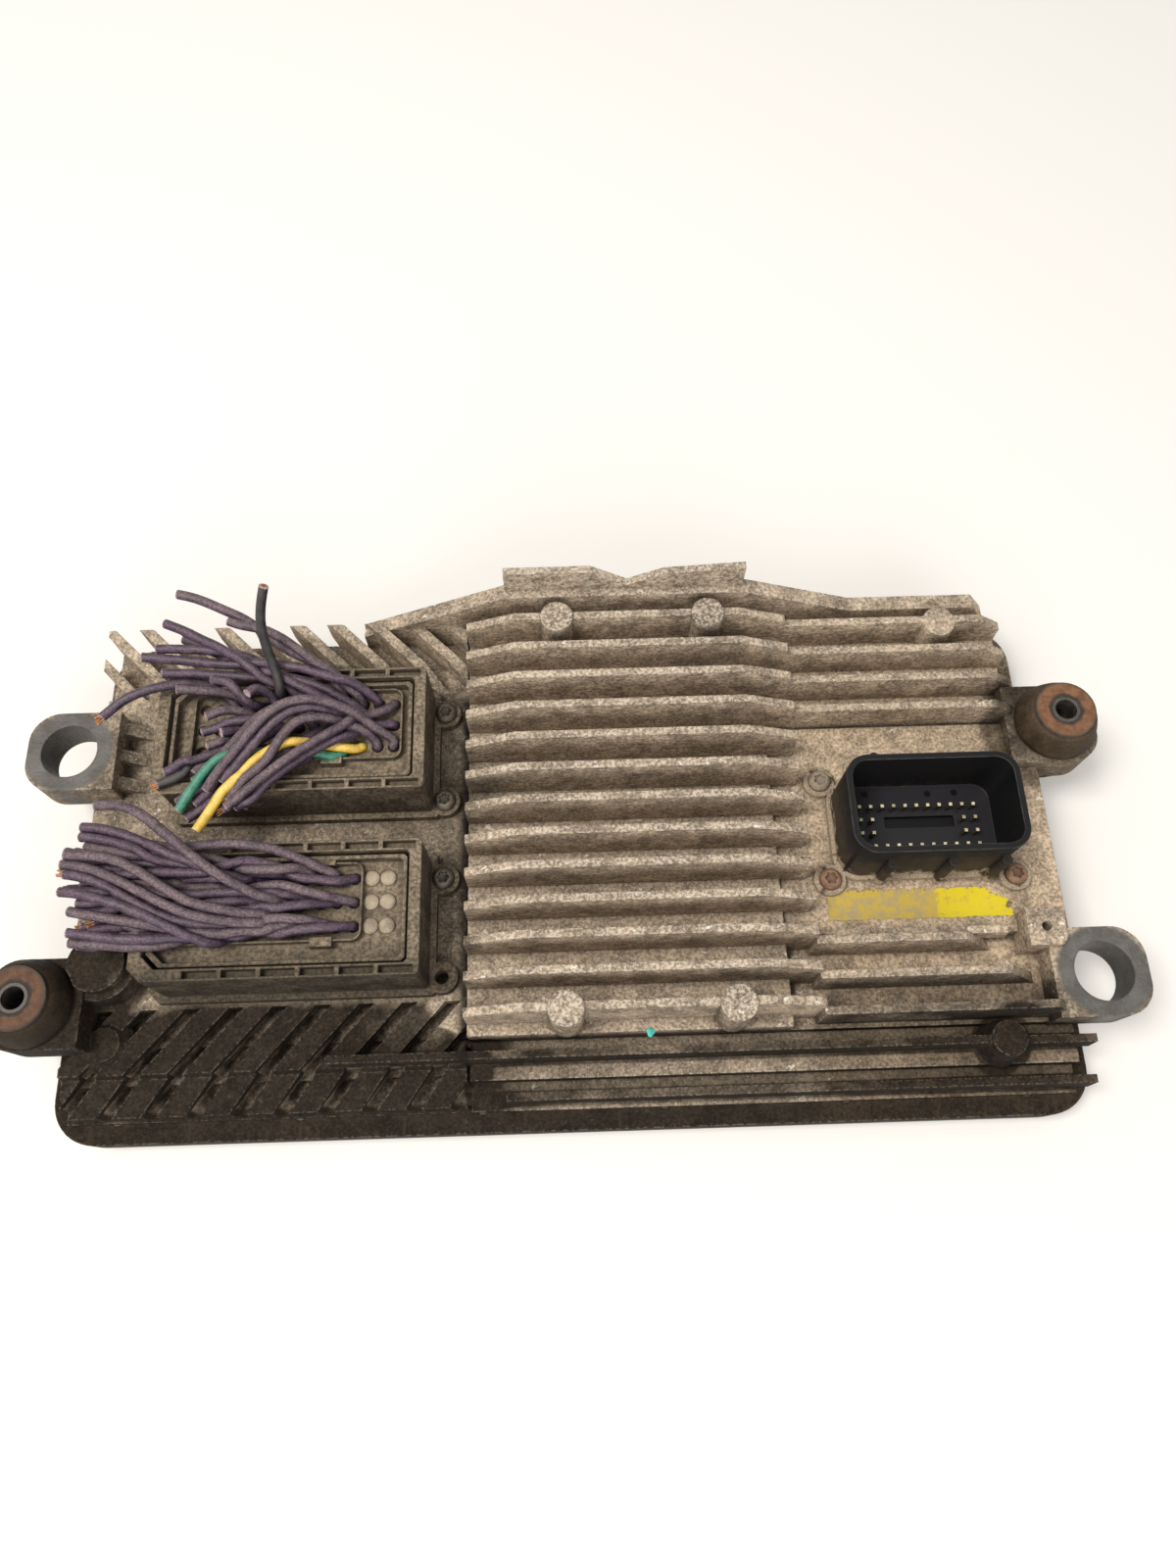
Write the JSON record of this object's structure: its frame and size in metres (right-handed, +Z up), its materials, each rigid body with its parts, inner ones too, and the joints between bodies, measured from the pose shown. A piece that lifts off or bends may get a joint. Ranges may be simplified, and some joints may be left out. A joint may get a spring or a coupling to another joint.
{
  "type": "engine control unit",
  "caption": "Finned cast housing of a diesel engine controller with a pin header, two mated harness plugs whose wires are cut short, and mounting ears on rubber isolators.",
  "frame": {"origin": "centre of the flat underside of the base cover", "axes": "+X along the length, towards the pin header; +Y to the back, away from the long low fins; +Z up, out of the fins"},
  "size_m": [0.347, 0.17, 0.0879],
  "materials": {
    "cast_aluminium": "die cast, dusty and stained",
    "cover_aluminium": "die cast, dirty",
    "seal_rubber": "matte black",
    "zinc_steel": "zinc plated, dull",
    "rusty_steel": "brown rust",
    "sleeve_steel": "dull grey steel",
    "board_laminate": "solder mask green",
    "chip_resin": "matte black",
    "can_metal": "plain",
    "capacitor_sleeve": "dark shrink sleeve",
    "ferrite": "matte dark grey",
    "copper": "enamelled copper",
    "header_plastic": "satin black",
    "socket_plastic": "black under dust",
    "contact_gold": "gold plated",
    "isolator_rubber": "weathered and dirty",
    "wire_violet": "violet insulation with dust",
    "wire_green": "green insulation",
    "wire_yellow": "yellow insulation",
    "wire_dark": "dark grey insulation"
  },
  "bodies": {
    "root": {"housing": "cast_aluminium", "base_cover": "cover_aluminium", "cover_gasket": "seal_rubber", "cover_screws": "zinc_steel", "circuit_board": "board_laminate", "board_screws": "zinc_steel", "processor_chip": "chip_resin", "memory_chips": "chip_resin", "power_transistors": "chip_resin", "crystal_can": "can_metal", "capacitors": "capacitor_sleeve", "coil_cores": "ferrite", "coil_windings": "copper", "pin_header": "header_plastic", "header_pins": "contact_gold", "header_screws": "rusty_steel", "header_seal": "seal_rubber", "upper_socket": "socket_plastic", "lower_socket": "socket_plastic", "upper_socket_pins": "contact_gold", "lower_socket_pins": "contact_gold", "socket_screws": "zinc_steel", "upper_socket_seal": "seal_rubber", "lower_socket_seal": "seal_rubber", "upper_plug": "socket_plastic", "lower_plug": "socket_plastic", "upper_terminals": "contact_gold", "lower_terminals": "contact_gold", "cavity_plugs": "seal_rubber", "left_isolator": "isolator_rubber", "right_isolator": "isolator_rubber", "left_sleeve": "sleeve_steel", "right_sleeve": "sleeve_steel", "isolator_washers": "rusty_steel", "upper_bundle": "wire_violet", "lower_bundle": "wire_violet", "green_wire": "wire_green", "yellow_wire": "wire_yellow", "dark_wire": "wire_dark", "long_wire": "wire_violet", "side_wire": "wire_violet"}
  },
  "joints": []
}
